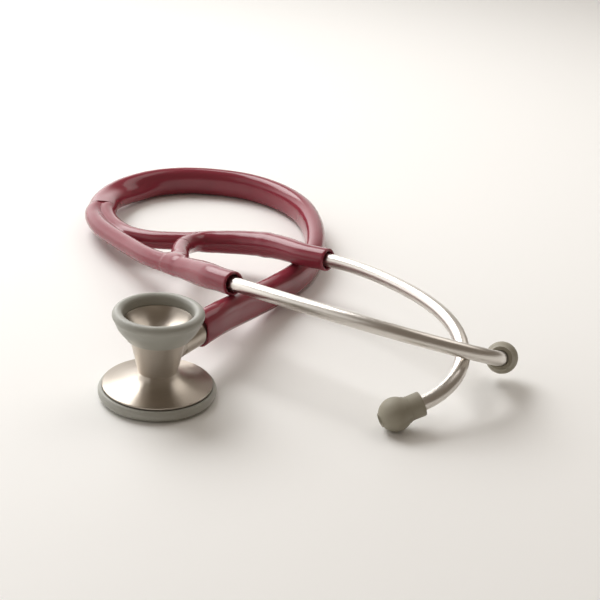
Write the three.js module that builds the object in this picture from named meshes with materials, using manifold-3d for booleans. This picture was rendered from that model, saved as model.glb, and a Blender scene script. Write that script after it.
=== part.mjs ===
// Cardiology stethoscope lying on a table, diaphragm down and bell up.
// Millimetres, +Z up. The origin is the centre of the diaphragm's outer face,
// +X runs along the ear tubes and +Y towards the far side of the tubing loop.

import * as THREE from 'three';
import { mergeVertices } from 'three/addons/utils/BufferGeometryUtils.js';
import Module from 'manifold-3d';

const wasm = await Module();
wasm.setup();

// ---------------------------------------------------------------- driving dimensions

const GAP = 0.3;              // clearance kept where separate pieces meet
const ROUND_SIDES = 32;       // sides of a turned piece

// chestpiece
const DISC_RADIUS = 22.25;
const DISC_TOP = 6.1;
const NECK_RADIUS = 8.0;
const NECK_Z = 11.6;
const CONE_TOP_RADIUS = 11.4;
const CONE_TOP_Z = 26.4;
const CHANNEL_RADIUS = 2.2;   // sound channel on the chestpiece axis
const RIM_RADIUS = 23.9;
const RIM_TOP = 5.0;
const DIAPHRAGM_RADIUS = 20.4;
const BEAD_RADIUS = 16.16;    // bell ring bead: circle of its section's centres
const BEAD_SECTION = 2.17;
const BEAD_Z = 36.2;

// stem, along a horizontal axis through the cone
const STEM_AZIMUTH = THREE.MathUtils.degToRad(60);
const STEM_Z = 18.5;
const STEM_RADIUS = 5.8;
const JOURNAL_RADIUS = 3.85;
const JOURNAL_BORE = 4.0;
const JOURNAL_END = -6.4;     // inner end, measured from the chestpiece axis
const SHOULDER = 11.9;        // where the wide part of the stem starts
const TUBE_START = 28.0;      // where the tubing starts
const NIPPLE_RADIUS = 2.9;
const NIPPLE_LENGTH = 9.0;
const STEM_LUMEN = 1.6;
const SCREW_OFFSET = 4.6;     // detent and retaining screw, from the chestpiece axis
const SCREW_HOLE = 1.5;
const SCREW_RADIUS = 1.3;

// tubing
const TWIN_WIDTH = 9.5;
const TWIN_HEIGHT = 15.2;
const TWIN_ROLL_START = 0.80;  // the twin section rolls from on edge to flat between these
const TWIN_ROLL_END = 0.985;  // shares of the main tube's length
const BRANCH_RADIUS = 4.45;
const BRANCH_SIDES = 10;
const BRANCH_STEPS = 18;
const ARM_RADIUS = 5.4;
const PIVOT_CLEARANCE = 1.3;  // the flexing stretch of the moulding round each arm's pivot
const BRIDGE_WIDTH = 8.2;
const BRIDGE_HEIGHT = 9.4;
const BRIDGE_STEPS = 14;
const SPRING_THICKNESS = 0.8;
const SPRING_HEIGHT = 6.0;

// binaural
const EAR_TUBE_RADIUS = 3.1;
const EAR_TUBE_BORE = 2.4;
const SLEEVE_DEPTH = 12.0;    // ear tube inside the arm
const TIP_DEPTH = 6.0;        // ear tube inside the ear tip
const EAR_CURVE_LENGTH = 139.5;
const EAR_CURVATURE = [0.0083, 0.0040, 0.0180, 0.0419];   // per mm, at equal steps along the curve

const FRONT_EAR = { start: [26.57, 50.42, 29.18], heading: -47.7, rise: 8.6, twist: -23.3 };
const REAR_EAR = { start: [67.41, 98.32, 23.21], heading: -35.6, rise: 6.0, twist: -161.5 };

const FRONT_PIVOT = [-0.2, 85.1, 20.6];
const REAR_PIVOT = [10.0, 132.8, 14.6];

// routes of the tubing, hand-chosen points
const MAIN_ROUTE = [
  [14.0, 24.2, 18.5], [19.2, 33.4, 18.8], [24.2, 45.9, 16.8], [33.0, 66.9, 13.0], [42.6, 89.4, 9.4],
  [52.4, 110.5, 7.8], [59.2, 131.0, 7.7], [61.2, 154.4, 7.7], [59.4, 179.0, 7.7], [54.2, 200.0, 7.7],
  [46.0, 215.2, 7.7], [35.4, 227.0, 7.7], [21.2, 236.0, 7.7], [4.2, 240.0, 7.7], [-12.6, 239.4, 7.7],
  [-27.4, 233.4, 7.7], [-39.0, 222.4, 7.7], [-47.6, 209.0, 7.9], [-51.4, 194.8, 8.5], [-51.4, 180.7, 9.3],
];
const FRONT_BRANCH_ROUTE = [
  [-54.5, 180.0, 9.4], [-54.7, 177.0, 9.4], [-54.1, 171.0, 9.5], [-51.9, 163.0, 9.8], [-47.2, 152.5, 10.4],
  [-37.8, 137.2, 11.8], [-28.3, 122.5, 13.5], [-16.2, 103.8, 16.4], FRONT_PIVOT,
];
const REAR_BRANCH_ROUTE = [
  [-48.5, 179.7, 9.4], [-48.6, 177.0, 9.4], [-46.9, 170.0, 9.5], [-42.9, 160.7, 9.6], [-38.7, 153.4, 10.0],
  [-31.3, 144.2, 10.8], [-20.3, 137.4, 12.0], [-10.2, 134.9, 13.0], [-1.0, 133.8, 13.8], REAR_PIVOT,
];
const BRIDGE_ROUTE = [
  FRONT_PIVOT, [-1.6, 97.0, 19.7], [-2.6, 107.0, 18.7], [-2.3, 116.0, 17.6], [-0.1, 124.2, 16.2],
  [4.4, 130.2, 15.1], REAR_PIVOT,
];
const FRONT_ARM_POINTS = [FRONT_PIVOT, [8.2, 74.6, 23.2]];
const REAR_ARM_POINTS = [
  REAR_PIVOT, [17.5, 132.2, 15.2], [26.0, 130.6, 16.1], [35.3, 126.6, 17.5], [45.0, 118.4, 19.6],
];

// ---------------------------------------------------------------- helpers

const UP = new THREE.Vector3(0, 0, 1);
const vector = (point) => new THREE.Vector3(...point);

function toSolid(geometry) {
  const bare = geometry.clone();
  bare.deleteAttribute('normal');
  bare.deleteAttribute('uv');
  const merged = mergeVertices(bare, 1e-4);
  return new wasm.Manifold(new wasm.Mesh({
    numProp: 3,
    vertProperties: new Float32Array(merged.attributes.position.array),
    triVerts: new Uint32Array(merged.index.array),
  }));
}

function toGeometry(solid) {
  const mesh = solid.getMesh();
  const geometry = new THREE.BufferGeometry();
  geometry.setAttribute('position', new THREE.BufferAttribute(new Float32Array(mesh.vertProperties), 3));
  geometry.setIndex(new THREE.BufferAttribute(new Uint32Array(mesh.triVerts), 1));
  geometry.computeVertexNormals();
  return geometry;
}

function cut(solid, ...tools) {
  return tools.reduce((rest, tool) => rest.subtract(tool), solid);
}

// A turned piece about +Z from (radius, z) points, listed with the material on the left.
function turned(points, sides = ROUND_SIDES) {
  const geometry = new THREE.LatheGeometry(points.map(([r, z]) => new THREE.Vector2(r, z)), sides);
  geometry.rotateX(Math.PI / 2);
  return toSolid(geometry);
}

function disc(radius, low, high, sides = ROUND_SIDES) {
  return turned([[0, low], [radius, low], [radius, high], [0, high]], sides);
}

function ball(radius, centre, sides = 20) {
  const geometry = new THREE.SphereGeometry(radius, sides, sides / 2);
  geometry.translate(...centre);
  return toSolid(geometry);
}

// Places a solid built along +Z so that its axis runs along a direction from a point.
function placed(solid, point, direction) {
  const turn = new THREE.Quaternion().setFromUnitVectors(UP, direction.clone().normalize());
  const matrix = new THREE.Matrix4().compose(vector(point), turn, new THREE.Vector3(1, 1, 1));
  return solid.transform(matrix.elements);
}

// A path whose section stays upright, with an optional roll about the path.
class UprightPath extends THREE.CatmullRomCurve3 {
  constructor(points, roll = () => 0) {
    super(points.map(vector), false, 'centripetal');
    this.roll = roll;
    this.arcLengthDivisions = 400;
  }

  computeFrenetFrames(segments) {
    const frames = { tangents: [], normals: [], binormals: [] };
    for (let i = 0; i <= segments; i++) {
      const along = i / segments;
      const tangent = this.getTangentAt(along);
      const side = new THREE.Vector3().crossVectors(UP, tangent).normalize();
      const rise = new THREE.Vector3().crossVectors(tangent, side);
      const roll = this.roll(along);
      frames.tangents.push(tangent);
      frames.normals.push(side.clone().multiplyScalar(Math.cos(roll)).addScaledVector(rise, Math.sin(roll)));
      frames.binormals.push(rise.multiplyScalar(Math.cos(roll)).addScaledVector(side, -Math.sin(roll)));
    }
    return frames;
  }
}

// An oval section: an ellipse when the two radii differ.
function ovalShape(halfWidth, halfHeight, sides) {
  const points = [];
  for (let i = 0; i < sides; i++) {
    const angle = (i / sides) * 2 * Math.PI;
    points.push(new THREE.Vector2(halfWidth * Math.cos(angle), halfHeight * Math.sin(angle)));
  }
  return new THREE.Shape(points);
}

// Two round lobes one above the other.
function twinShape(width, height, sidesPerLobe) {
  const radius = width / 2;
  const offset = (height - width) / 2;
  const points = [];
  for (const [first, centre] of [[0, offset], [Math.PI, -offset]]) {
    for (let i = 0; i < sidesPerLobe; i++) {
      const angle = first + (i / (sidesPerLobe - 1)) * Math.PI;
      points.push(new THREE.Vector2(radius * Math.cos(angle), centre + radius * Math.sin(angle)));
    }
  }
  return new THREE.Shape(points);
}

function stripShape(width, height) {
  return new THREE.Shape([
    new THREE.Vector2(-width / 2, -height / 2), new THREE.Vector2(width / 2, -height / 2),
    new THREE.Vector2(width / 2, height / 2), new THREE.Vector2(-width / 2, height / 2),
  ]);
}

function swept(shape, path, steps) {
  return toSolid(new THREE.ExtrudeGeometry(shape, { steps, bevelEnabled: false, extrudePath: path }));
}

function roundTube(points, radius, sides, steps) {
  return swept(ovalShape(radius, radius, sides), new UprightPath(points), steps);
}

// ---------------------------------------------------------------- chestpiece

const stemAxis = new THREE.Vector3(Math.cos(STEM_AZIMUTH), Math.sin(STEM_AZIMUTH), 0);
const stemPoint = (distance) => [stemAxis.x * distance, stemAxis.y * distance, STEM_Z];
const alongStem = (solid, distance = 0) => placed(solid, stemPoint(distance), stemAxis);

function chestpieceBody() {
  const turnedBody = turned([
    [CHANNEL_RADIUS, 3.2], [19.6, 1.9], [21.8, 1.9], [21.8, 5.3], [DISC_RADIUS, 5.3], [DISC_RADIUS, DISC_TOP],
    [18.0, 6.6], [14.0, 7.5], [11.0, 8.8], [9.1, 10.2], [NECK_RADIUS, NECK_Z], [CONE_TOP_RADIUS, CONE_TOP_Z],
    [12.6, 28.6], [14.5, 31.6], [14.9, 33.4], [14.9, 34.5], [14.1, 34.5], [14.1, 33.8], [13.5, 33.8],
    [13.4, 32.2], [12.8, 30.6], [11.6, 29.0], [9.6, 27.7], [6.0, 26.4], [CHANNEL_RADIUS, 25.6],
    [CHANNEL_RADIUS, 3.2],
  ]);
  const boss = alongStem(disc(STEM_RADIUS + 0.1, 0, SHOULDER - GAP));
  const bore = alongStem(disc(JOURNAL_BORE, JOURNAL_END - GAP, SHOULDER + 1));
  const channel = disc(CHANNEL_RADIUS, 2, 30, 16);
  const holes = [SCREW_OFFSET, -SCREW_OFFSET].map((offset) => {
    const [x, y] = stemPoint(offset);
    return disc(SCREW_HOLE, 1, STEM_Z, 16).translate([x, y, 0]);
  });
  return cut(turnedBody.add(boss), bore, channel, ...holes);
}

function bellRing() {
  const points = [[11.8, 26.6], [12.7, 26.5], [13.0, 26.9], [14.5, 28.7], [16.1, 31.0], [17.1, 33.0]];
  for (let step = 0; step <= 7; step++) {
    const angle = THREE.MathUtils.degToRad(-45 + step * 32);
    points.push([BEAD_RADIUS + BEAD_SECTION * Math.cos(angle), BEAD_Z + BEAD_SECTION * Math.sin(angle)]);
  }
  points.push([13.6, 34.1], [13.8, 34.1], [13.8, 34.8], [15.2, 34.8]);
  points.push([15.2, 33.4], [14.8, 31.7], [12.9, 28.8], [11.8, 26.6]);
  return turned(points);
}

function diaphragmRim() {
  return turned([
    [20.7, 0], [21.8, 0.1], [22.9, 0.6], [23.6, 1.4], [RIM_RADIUS, 2.4], [RIM_RADIUS, 3.6], [23.5, 4.6],
    [23.0, RIM_TOP], [22.1, RIM_TOP], [22.1, 0.8], [20.7, 0.8], [20.7, 0],
  ]);
}

function diaphragm() {
  return turned([
    [0, 0], [DIAPHRAGM_RADIUS, 0], [DIAPHRAGM_RADIUS, 1.1], [21.8, 1.1], [21.8, 1.6],
    [19.9, 1.6], [19.9, 0.5], [0, 0.5],
  ]);
}

function stem() {
  const turnedStem = turned([
    [0, JOURNAL_END], [JOURNAL_RADIUS, JOURNAL_END], [JOURNAL_RADIUS, -5.8], [3.1, -5.8], [3.1, -3.4],
    [JOURNAL_RADIUS, -3.4], [JOURNAL_RADIUS, 3.2], [3.1, 3.2], [3.1, 6.0], [JOURNAL_RADIUS, 6.0],
    [JOURNAL_RADIUS, 8.0], [2.75, 8.0], [2.75, 9.4], [JOURNAL_RADIUS, 9.4], [JOURNAL_RADIUS, SHOULDER],
    [STEM_RADIUS, SHOULDER], [STEM_RADIUS, TUBE_START - 2.8], [5.4, TUBE_START - 2.3],
    [4.2, TUBE_START - 2.3], [4.2, TUBE_START - GAP], [NIPPLE_RADIUS, TUBE_START - GAP],
    [NIPPLE_RADIUS, TUBE_START + NIPPLE_LENGTH - 1.5],
    [2.4, TUBE_START + NIPPLE_LENGTH], [0, TUBE_START + NIPPLE_LENGTH],
  ], 24);
  const lumen = disc(STEM_LUMEN, 0, TUBE_START + NIPPLE_LENGTH + 1, 12);
  const port = disc(STEM_LUMEN, STEM_Z - 6, STEM_Z, 12);
  return cut(alongStem(cut(turnedStem, lumen)), port);
}

function stemSeal() {
  const ring = new THREE.TorusGeometry(3.43, 0.4, 8, 24);
  return alongStem(toSolid(ring), 8.7);
}

function detentBall() {
  const [x, y] = stemPoint(SCREW_OFFSET);
  return ball(1.15, [x, y, STEM_Z - 4.45], 12);
}

function detentSpring() {
  const [x, y] = stemPoint(SCREW_OFFSET);
  const radius = 0.9;
  const wireRadius = 0.22;
  const low = 8.2;
  const high = 12.3;
  const steps = 5 * 8;        // five turns of eight steps
  const points = [];
  for (let i = 0; i <= steps; i++) {
    const angle = (i / 8) * 2 * Math.PI;
    const height = low + ((high - low) * i) / steps;
    points.push([x + radius * Math.cos(angle), y + radius * Math.sin(angle), height]);
  }
  return roundTube(points, wireRadius, 6, steps);
}

function grubScrew(offset, low, high, pointRadius, pointHigh) {
  const [x, y] = stemPoint(offset);
  const body = turned([
    [0, low], [SCREW_RADIUS, low], [SCREW_RADIUS, high],
    [pointRadius, high], [pointRadius, pointHigh], [0, pointHigh],
  ], 16);
  const slot = toSolid(new THREE.BoxGeometry(3, 0.5, 1.4));
  return cut(body, slot.translate([0, 0, low])).translate([x, y, 0]);
}

// ---------------------------------------------------------------- tubing and yoke

function mainTube() {
  const roll = (along) => (Math.PI / 2) * THREE.MathUtils.smoothstep(along, TWIN_ROLL_START, TWIN_ROLL_END);
  const tube = swept(twinShape(TWIN_WIDTH, TWIN_HEIGHT, 6), new UprightPath(MAIN_ROUTE, roll), 40);
  const socket = alongStem(disc(NIPPLE_RADIUS + GAP, TUBE_START - 1, TUBE_START + NIPPLE_LENGTH + GAP, 12));
  return cut(tube, socket);
}

const branch = (route, radius) => roundTube(route, radius, BRANCH_SIDES, BRANCH_STEPS);

// The space round each pivot and each branch that the neighbouring pieces leave free.
const frontHub = ball(ARM_RADIUS + PIVOT_CLEARANCE, FRONT_PIVOT);
const rearHub = ball(ARM_RADIUS + PIVOT_CLEARANCE, REAR_PIVOT);
const frontKeepOut = branch(FRONT_BRANCH_ROUTE, BRANCH_RADIUS + GAP);
const rearKeepOut = branch(REAR_BRANCH_ROUTE, BRANCH_RADIUS + GAP);

function frontBranch() {
  return cut(branch(FRONT_BRANCH_ROUTE, BRANCH_RADIUS), frontHub);
}

function rearBranch() {
  return cut(branch(REAR_BRANCH_ROUTE, BRANCH_RADIUS), frontKeepOut, rearHub);
}

function yokeBridge() {
  const path = new UprightPath(BRIDGE_ROUTE);
  const cover = swept(ovalShape(BRIDGE_WIDTH / 2, BRIDGE_HEIGHT / 2, 12), path, BRIDGE_STEPS);
  const slot = swept(stripShape(SPRING_THICKNESS + 2 * GAP, SPRING_HEIGHT + 2 * GAP), path, BRIDGE_STEPS);
  return cut(cover, slot, frontHub, rearHub, frontKeepOut, rearKeepOut);
}

function yokeSpring() {
  const path = new UprightPath(BRIDGE_ROUTE);
  const strip = swept(stripShape(SPRING_THICKNESS, SPRING_HEIGHT), path, BRIDGE_STEPS);
  return cut(strip, frontHub, rearHub, frontKeepOut, rearKeepOut);
}

// ---------------------------------------------------------------- binaural

// The ear tube's centre line: a straight stretch in the arm, a bend in one plane whose
// curvature grows towards the ear, and a straight stretch in the ear tip.
function earLine(ear) {
  const heading = THREE.MathUtils.degToRad(ear.heading);
  const rise = THREE.MathUtils.degToRad(ear.rise);
  const twist = THREE.MathUtils.degToRad(ear.twist);
  const forward = new THREE.Vector3(
    Math.cos(rise) * Math.cos(heading), Math.cos(rise) * Math.sin(heading), Math.sin(rise));
  const left = new THREE.Vector3().crossVectors(UP, forward).normalize();
  const above = new THREE.Vector3().crossVectors(forward, left);
  const inward = left.multiplyScalar(Math.cos(twist)).addScaledVector(above, Math.sin(twist));
  const directionAt = (angle) => forward.clone().multiplyScalar(Math.cos(angle))
    .addScaledVector(inward, Math.sin(angle));
  const start = vector(ear.start);
  const points = [start.clone().addScaledVector(forward, -SLEEVE_DEPTH), start.clone()];
  const steps = 90;
  const step = EAR_CURVE_LENGTH / steps;
  const place = start.clone();
  let angle = 0;
  for (let i = 0; i < steps; i++) {
    const along = ((i + 0.5) / steps) * (EAR_CURVATURE.length - 1);
    const knot = Math.floor(along);
    const bend = THREE.MathUtils.lerp(EAR_CURVATURE[knot], EAR_CURVATURE[knot + 1], along - knot);
    place.addScaledVector(directionAt(angle + (bend * step) / 2), step);
    angle += bend * step;
    if (i % 6 === 5) points.push(place.clone());
  }
  const outward = directionAt(angle);
  const end = place.clone();
  points.push(end.clone().addScaledVector(outward, TIP_DEPTH));
  return { points: points.map((point) => point.toArray()), forward, outward, end: end.toArray() };
}

const frontLine = earLine(FRONT_EAR);
const rearLine = earLine(REAR_EAR);

function arm(points, line, ear, steps) {
  const back = vector(ear.start).addScaledVector(line.forward, -SLEEVE_DEPTH - 2).toArray();
  const path = [...points, back, ear.start];
  const bore = disc(EAR_TUBE_RADIUS + GAP, -SLEEVE_DEPTH - GAP, 1, 16);
  const tube = roundTube(path, ARM_RADIUS, 14, steps).add(ball(ARM_RADIUS, points[0], 14));
  return cut(tube, placed(bore, ear.start, line.forward));
}

function earTube(line) {
  const path = new UprightPath(line.points);
  const shape = ovalShape(EAR_TUBE_RADIUS, EAR_TUBE_RADIUS, 12);
  shape.holes.push(ovalShape(EAR_TUBE_BORE, EAR_TUBE_BORE, 8));
  return swept(shape, path, 24);
}

function tipFerrule(line) {
  const ring = turned([
    [3.25, 0.4], [3.9, 0.4], [3.9, 1.4], [3.6, 1.7], [3.9, 2.3], [3.6, 2.9], [3.9, 3.5], [3.6, 4.1],
    [3.9, 4.7], [3.6, 5.3], [3.6, 5.8], [3.25, 5.8], [3.25, 0.4],
  ], 16);
  return placed(ring, line.end, line.outward);
}

function earTip(line) {
  const points = [[3.4, 0], [4.9, 0], [5.1, 0.4], [5.05, 5.6], [5.5, 6.9]];
  const centre = 11.5;
  const radius = 6.9;
  for (let step = 0; step <= 6; step++) {
    const angle = THREE.MathUtils.degToRad(-38 + step * 18);
    points.push([radius * Math.cos(angle), centre + radius * Math.sin(angle)]);
  }
  points.push([2.6, 18.2], [1.9, 17.0], [1.9, 6.4], [4.15, 6.4], [4.15, 0.2], [3.4, 0.2], [3.4, 0]);
  return placed(turned(points, 20), line.end, line.outward);
}

// ---------------------------------------------------------------- assembly

const pvc = { color: 0x6b1f2e, roughness: 0.25, metalness: 0 };
const satinSteel = { color: 0xb9b3a8, roughness: 0.35, metalness: 1 };
const tubeSteel = { color: 0xc9c5bc, roughness: 0.25, metalness: 1 };
const springSteel = { color: 0x8d8d8f, roughness: 0.4, metalness: 1 };
const greySilicone = { color: 0x80837a, roughness: 0.6, metalness: 0 };
const earRubber = { color: 0x77746a, roughness: 0.75, metalness: 0 };
const resin = { color: 0xd8d3c4, roughness: 0.35, metalness: 0 };
const sealRubber = { color: 0x222222, roughness: 0.7, metalness: 0 };

const object = new THREE.Group();

function piece(parent, name, solid, finish) {
  const mesh = new THREE.Mesh(toGeometry(solid), new THREE.MeshStandardMaterial(finish));
  mesh.name = name;
  parent.add(mesh);
}

const chestpiece = new THREE.Group();
piece(chestpiece, 'chestpiece_body', chestpieceBody(), satinSteel);
piece(chestpiece, 'bell_ring', bellRing(), greySilicone);
piece(chestpiece, 'diaphragm_rim', diaphragmRim(), greySilicone);
piece(chestpiece, 'diaphragm', diaphragm(), resin);
piece(chestpiece, 'detent_ball', detentBall(), springSteel);
piece(chestpiece, 'detent_spring', detentSpring(), springSteel);
piece(chestpiece, 'detent_screw', grubScrew(SCREW_OFFSET, 4.2, 7.6, 0.5, 8.4), springSteel);
piece(chestpiece, 'retaining_screw', grubScrew(-SCREW_OFFSET, 9.0, 13.2, 1.0, STEM_Z - 3.5), springSteel);
object.add(chestpiece);

const tubing = new THREE.Group();
piece(tubing, 'stem', stem(), satinSteel);
piece(tubing, 'stem_seal', stemSeal(), sealRubber);
piece(tubing, 'main_tube', mainTube(), pvc);
piece(tubing, 'front_branch', frontBranch(), pvc);
piece(tubing, 'rear_branch', rearBranch(), pvc);
piece(tubing, 'yoke_bridge', yokeBridge(), pvc);
piece(tubing, 'yoke_spring', yokeSpring(), springSteel);
object.add(tubing);

for (const [side, points, line, ear, steps] of [
  ['front', FRONT_ARM_POINTS, frontLine, FRONT_EAR, 8],
  ['rear', REAR_ARM_POINTS, rearLine, REAR_EAR, 14],
]) {
  const half = new THREE.Group();
  piece(half, `${side}_arm`, arm(points, line, ear, steps), pvc);
  piece(half, `${side}_ear_tube`, earTube(line), tubeSteel);
  piece(half, `${side}_tip_ferrule`, tipFerrule(line), springSteel);
  piece(half, `${side}_ear_tip`, earTip(line), earRubber);
  object.add(half);
}

export default object;
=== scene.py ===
"""Looks of a cardiology stethoscope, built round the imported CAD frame. Metres, +Z up.

The camera and the tubing come first, then the moulded yoke, the headset, the chestpiece,
and last the floor and the lights. Sizes in the constants and profiles are in millimetres, but
those of the camera, the floor and the lights are in metres.
"""

import math

import bmesh
import bpy
import numpy as np
from mathutils import Matrix, Vector


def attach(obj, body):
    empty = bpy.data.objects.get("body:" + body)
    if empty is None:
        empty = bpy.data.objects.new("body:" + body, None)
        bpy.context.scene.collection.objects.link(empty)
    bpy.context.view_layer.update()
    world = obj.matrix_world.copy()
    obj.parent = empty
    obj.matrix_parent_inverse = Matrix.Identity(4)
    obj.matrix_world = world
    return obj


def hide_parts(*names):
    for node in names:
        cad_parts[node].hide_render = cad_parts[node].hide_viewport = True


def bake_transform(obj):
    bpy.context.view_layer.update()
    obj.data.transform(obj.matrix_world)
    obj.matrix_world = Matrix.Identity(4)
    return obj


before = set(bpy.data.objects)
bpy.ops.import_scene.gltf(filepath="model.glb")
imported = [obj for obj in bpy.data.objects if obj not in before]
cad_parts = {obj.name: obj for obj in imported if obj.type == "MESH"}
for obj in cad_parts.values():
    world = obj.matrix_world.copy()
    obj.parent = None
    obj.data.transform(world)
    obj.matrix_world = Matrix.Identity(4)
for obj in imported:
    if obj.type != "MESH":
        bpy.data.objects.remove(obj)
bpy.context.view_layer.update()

# ---------------------------------------------------------------- driving dimensions, mm

MM = 0.001
UP = np.array([0.0, 0.0, 1.0])
SEGMENTS = 144                # sides of a turned piece

# chestpiece and stem
DISC_RADIUS, DISC_TOP = 22.25, 6.1
NECK_RADIUS, NECK_Z = 8.0, 11.6
CONE_TOP_RADIUS, CONE_TOP_Z = 11.4, 26.4
CHANNEL_RADIUS = 2.2
BOSS_RADIUS, BOSS_END = 5.9, 11.6
BEAD_RADIUS, BEAD_SECTION, BEAD_Z = 16.16, 2.17, 36.2
STEM_AZIMUTH = math.radians(60)
STEM_Z = 18.5
STEM_RADIUS = 5.8
JOURNAL_RADIUS, JOURNAL_BORE, JOURNAL_END = 3.85, 4.0, -6.4
SHOULDER, TUBE_START = 11.9, 28.0
SCREW_OFFSET, SCREW_HOLE_RADIUS = 4.6, 1.5
DETENT_BALL_RADIUS = 1.15
COIL_RADIUS, COIL_WIRE_RADIUS, COIL_TURNS = 0.9, 0.22, 5

# tubing and yoke
TWIN_WIDTH, TWIN_HEIGHT = 9.5, 15.2
LOBE_RADIUS = TWIN_WIDTH / 2
LOBE_OFFSET = (TWIN_HEIGHT - TWIN_WIDTH) / 2
GROOVE_BLEND = 4.2            # how softly the two lobes run into each other
TWIN_ROLL_START, TWIN_ROLL_END = 0.80, 0.985      # shares of the tube's length
BRANCH_RADIUS = 4.45
ARM_RADIUS = 5.4
BRIDGE_RADIUS, BRIDGE_OFFSET = 4.1, 0.6
BRIDGE_INSET = 3.5            # the bridge starts this far inside the front arm
BRIDGE_TAPER, BRIDGE_TAPER_LENGTH = 0.8, 7        # and is thinner by this over this length
WEB_BLEND = 4.5               # the fillets where the bridge runs into the front arm
JOIN_BLEND = 1.8              # and where the rear branch runs into the bridge
SOCKET_RADIUS, SOCKET_DEPTH = 3.35, 12.5
SOCKET_MOUTH_RADIUS, SOCKET_MOUTH_DEPTH = 4.15, 5.5

# headset
EAR_TUBE_RADIUS, EAR_TUBE_BORE = 3.1, 2.4
SLEEVE_DEPTH, TIP_DEPTH = 12.0, 6.0
TIP_BALL_RADIUS, TIP_BALL_HEIGHT = 6.9, 11.5
EAR_CURVE_LENGTH = 139.5
EAR_CURVATURE = [0.0083, 0.0040, 0.0180, 0.0419]  # per mm, from the arm to the ear tip
FRONT_EAR = {"start": [26.57, 50.42, 29.18], "heading": -47.7, "rise": 8.6, "twist": -23.3}
REAR_EAR = {"start": [67.41, 98.32, 23.21], "heading": -35.6, "rise": 6.0, "twist": -161.5}
FRONT_PIVOT = [-0.2, 85.1, 20.6]
REAR_PIVOT = [10.0, 132.8, 14.6]

# routes of the tubing, the same points as the CAD's
MAIN_ROUTE = [
    [14.0, 24.2, 18.5], [19.2, 33.4, 18.8], [24.2, 45.9, 16.8], [33.0, 66.9, 13.0], [42.6, 89.4, 9.4],
    [52.4, 110.5, 7.8], [59.2, 131.0, 7.7], [61.2, 154.4, 7.7], [59.4, 179.0, 7.7], [54.2, 200.0, 7.7],
    [46.0, 215.2, 7.7], [35.4, 227.0, 7.7], [21.2, 236.0, 7.7], [4.2, 240.0, 7.7], [-12.6, 239.4, 7.7],
    [-27.4, 233.4, 7.7], [-39.0, 222.4, 7.7], [-47.6, 209.0, 7.9], [-51.4, 194.8, 8.5], [-51.4, 180.7, 9.3],
]
FRONT_BRANCH_ROUTE = [
    [-54.7, 177.0, 9.4], [-54.1, 171.0, 9.5], [-51.9, 163.0, 9.8], [-47.2, 152.5, 10.4],
    [-37.8, 137.2, 11.8], [-28.3, 122.5, 13.5], [-16.2, 103.8, 16.4], FRONT_PIVOT,
]
REAR_BRANCH_ROUTE = [
    [-48.6, 177.0, 9.4], [-46.9, 170.0, 9.5], [-42.9, 160.7, 9.6], [-38.7, 153.4, 10.0],
    [-31.3, 144.2, 10.8], [-20.3, 137.4, 12.0], [-10.2, 134.9, 13.0], [-1.0, 133.8, 13.8], REAR_PIVOT,
]
BRIDGE_ROUTE = [
    FRONT_PIVOT, [-1.6, 97.0, 19.7], [-2.6, 107.0, 18.7], [-2.3, 116.0, 17.6], [-0.1, 124.2, 16.2],
    [4.4, 130.2, 15.1], REAR_PIVOT,
]
FRONT_ARM_POINTS = [[8.2, 74.6, 23.2]]
REAR_ARM_POINTS = [
    [17.5, 132.2, 15.2], [26.0, 130.6, 16.1], [35.3, 126.6, 17.5], [45.0, 118.4, 19.6],
]

# ---------------------------------------------------------------- camera

SENSOR_WIDTH, LENS = 36.0, 81.0
CAMERA_PLACE = (0.05529, -0.48181, 0.26373)       # metres
CAMERA_TILT, CAMERA_ROLL = math.radians(65.716), math.radians(3.686)


def add_camera():
    data = bpy.data.cameras.new("camera")
    data.sensor_width = SENSOR_WIDTH
    data.lens = LENS
    camera = bpy.data.objects.new("camera", data)
    camera.matrix_world = (
        Matrix.Translation(CAMERA_PLACE)
        @ Matrix.Rotation(CAMERA_TILT, 4, "X")
        @ Matrix.Rotation(CAMERA_ROLL, 4, "Z")
    )
    bpy.context.scene.collection.objects.link(camera)
    bpy.context.scene.camera = camera


add_camera()

# ---------------------------------------------------------------- lines and outlines


def unit(vectors):
    vectors = np.asarray(vectors, float)
    return vectors / np.linalg.norm(vectors, axis=-1, keepdims=True)


def distance_along(line):
    """How far along a line each of its points lies."""
    return np.concatenate([[0], np.cumsum(np.linalg.norm(np.diff(line, axis=0), axis=1))])


def resampled(line, spacing):
    """The same line with points an even distance apart."""
    along = distance_along(line)
    at = np.linspace(0, along[-1], max(2, round(along[-1] / spacing) + 1))
    return np.column_stack([np.interp(at, along, column) for column in line.T])


def smooth_route(points, spacing, per_stretch=24):
    """A centripetal Catmull-Rom curve through points of two or three coordinates."""
    p = np.asarray(points, float)
    p = np.vstack([2 * p[0] - p[1], p, 2 * p[-1] - p[-2]])
    t = np.linspace(0, 1, per_stretch, endpoint=False)[:, None]
    stretches = []
    for a, b, c, d in zip(p, p[1:], p[2:], p[3:]):
        before, here, after = (np.linalg.norm(v) ** 0.5 for v in (b - a, c - b, d - c))
        leave = ((b - a) / before - (c - a) / (before + here) + (c - b) / here) * here
        arrive = ((c - b) / here - (d - b) / (here + after) + (d - c) / after) * here
        stretches.append(
            b * (2 * t**3 - 3 * t**2 + 1) + leave * (t**3 - 2 * t**2 + t)
            + c * (3 * t**2 - 2 * t**3) + arrive * (t**3 - t**2)
        )
    return resampled(np.vstack([*stretches, p[-2:-1]]), spacing)


def circle_outline(radius, sides):
    angles = np.linspace(0, 2 * math.pi, sides, endpoint=False)
    return radius * np.column_stack([np.cos(angles), np.sin(angles)])


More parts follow.
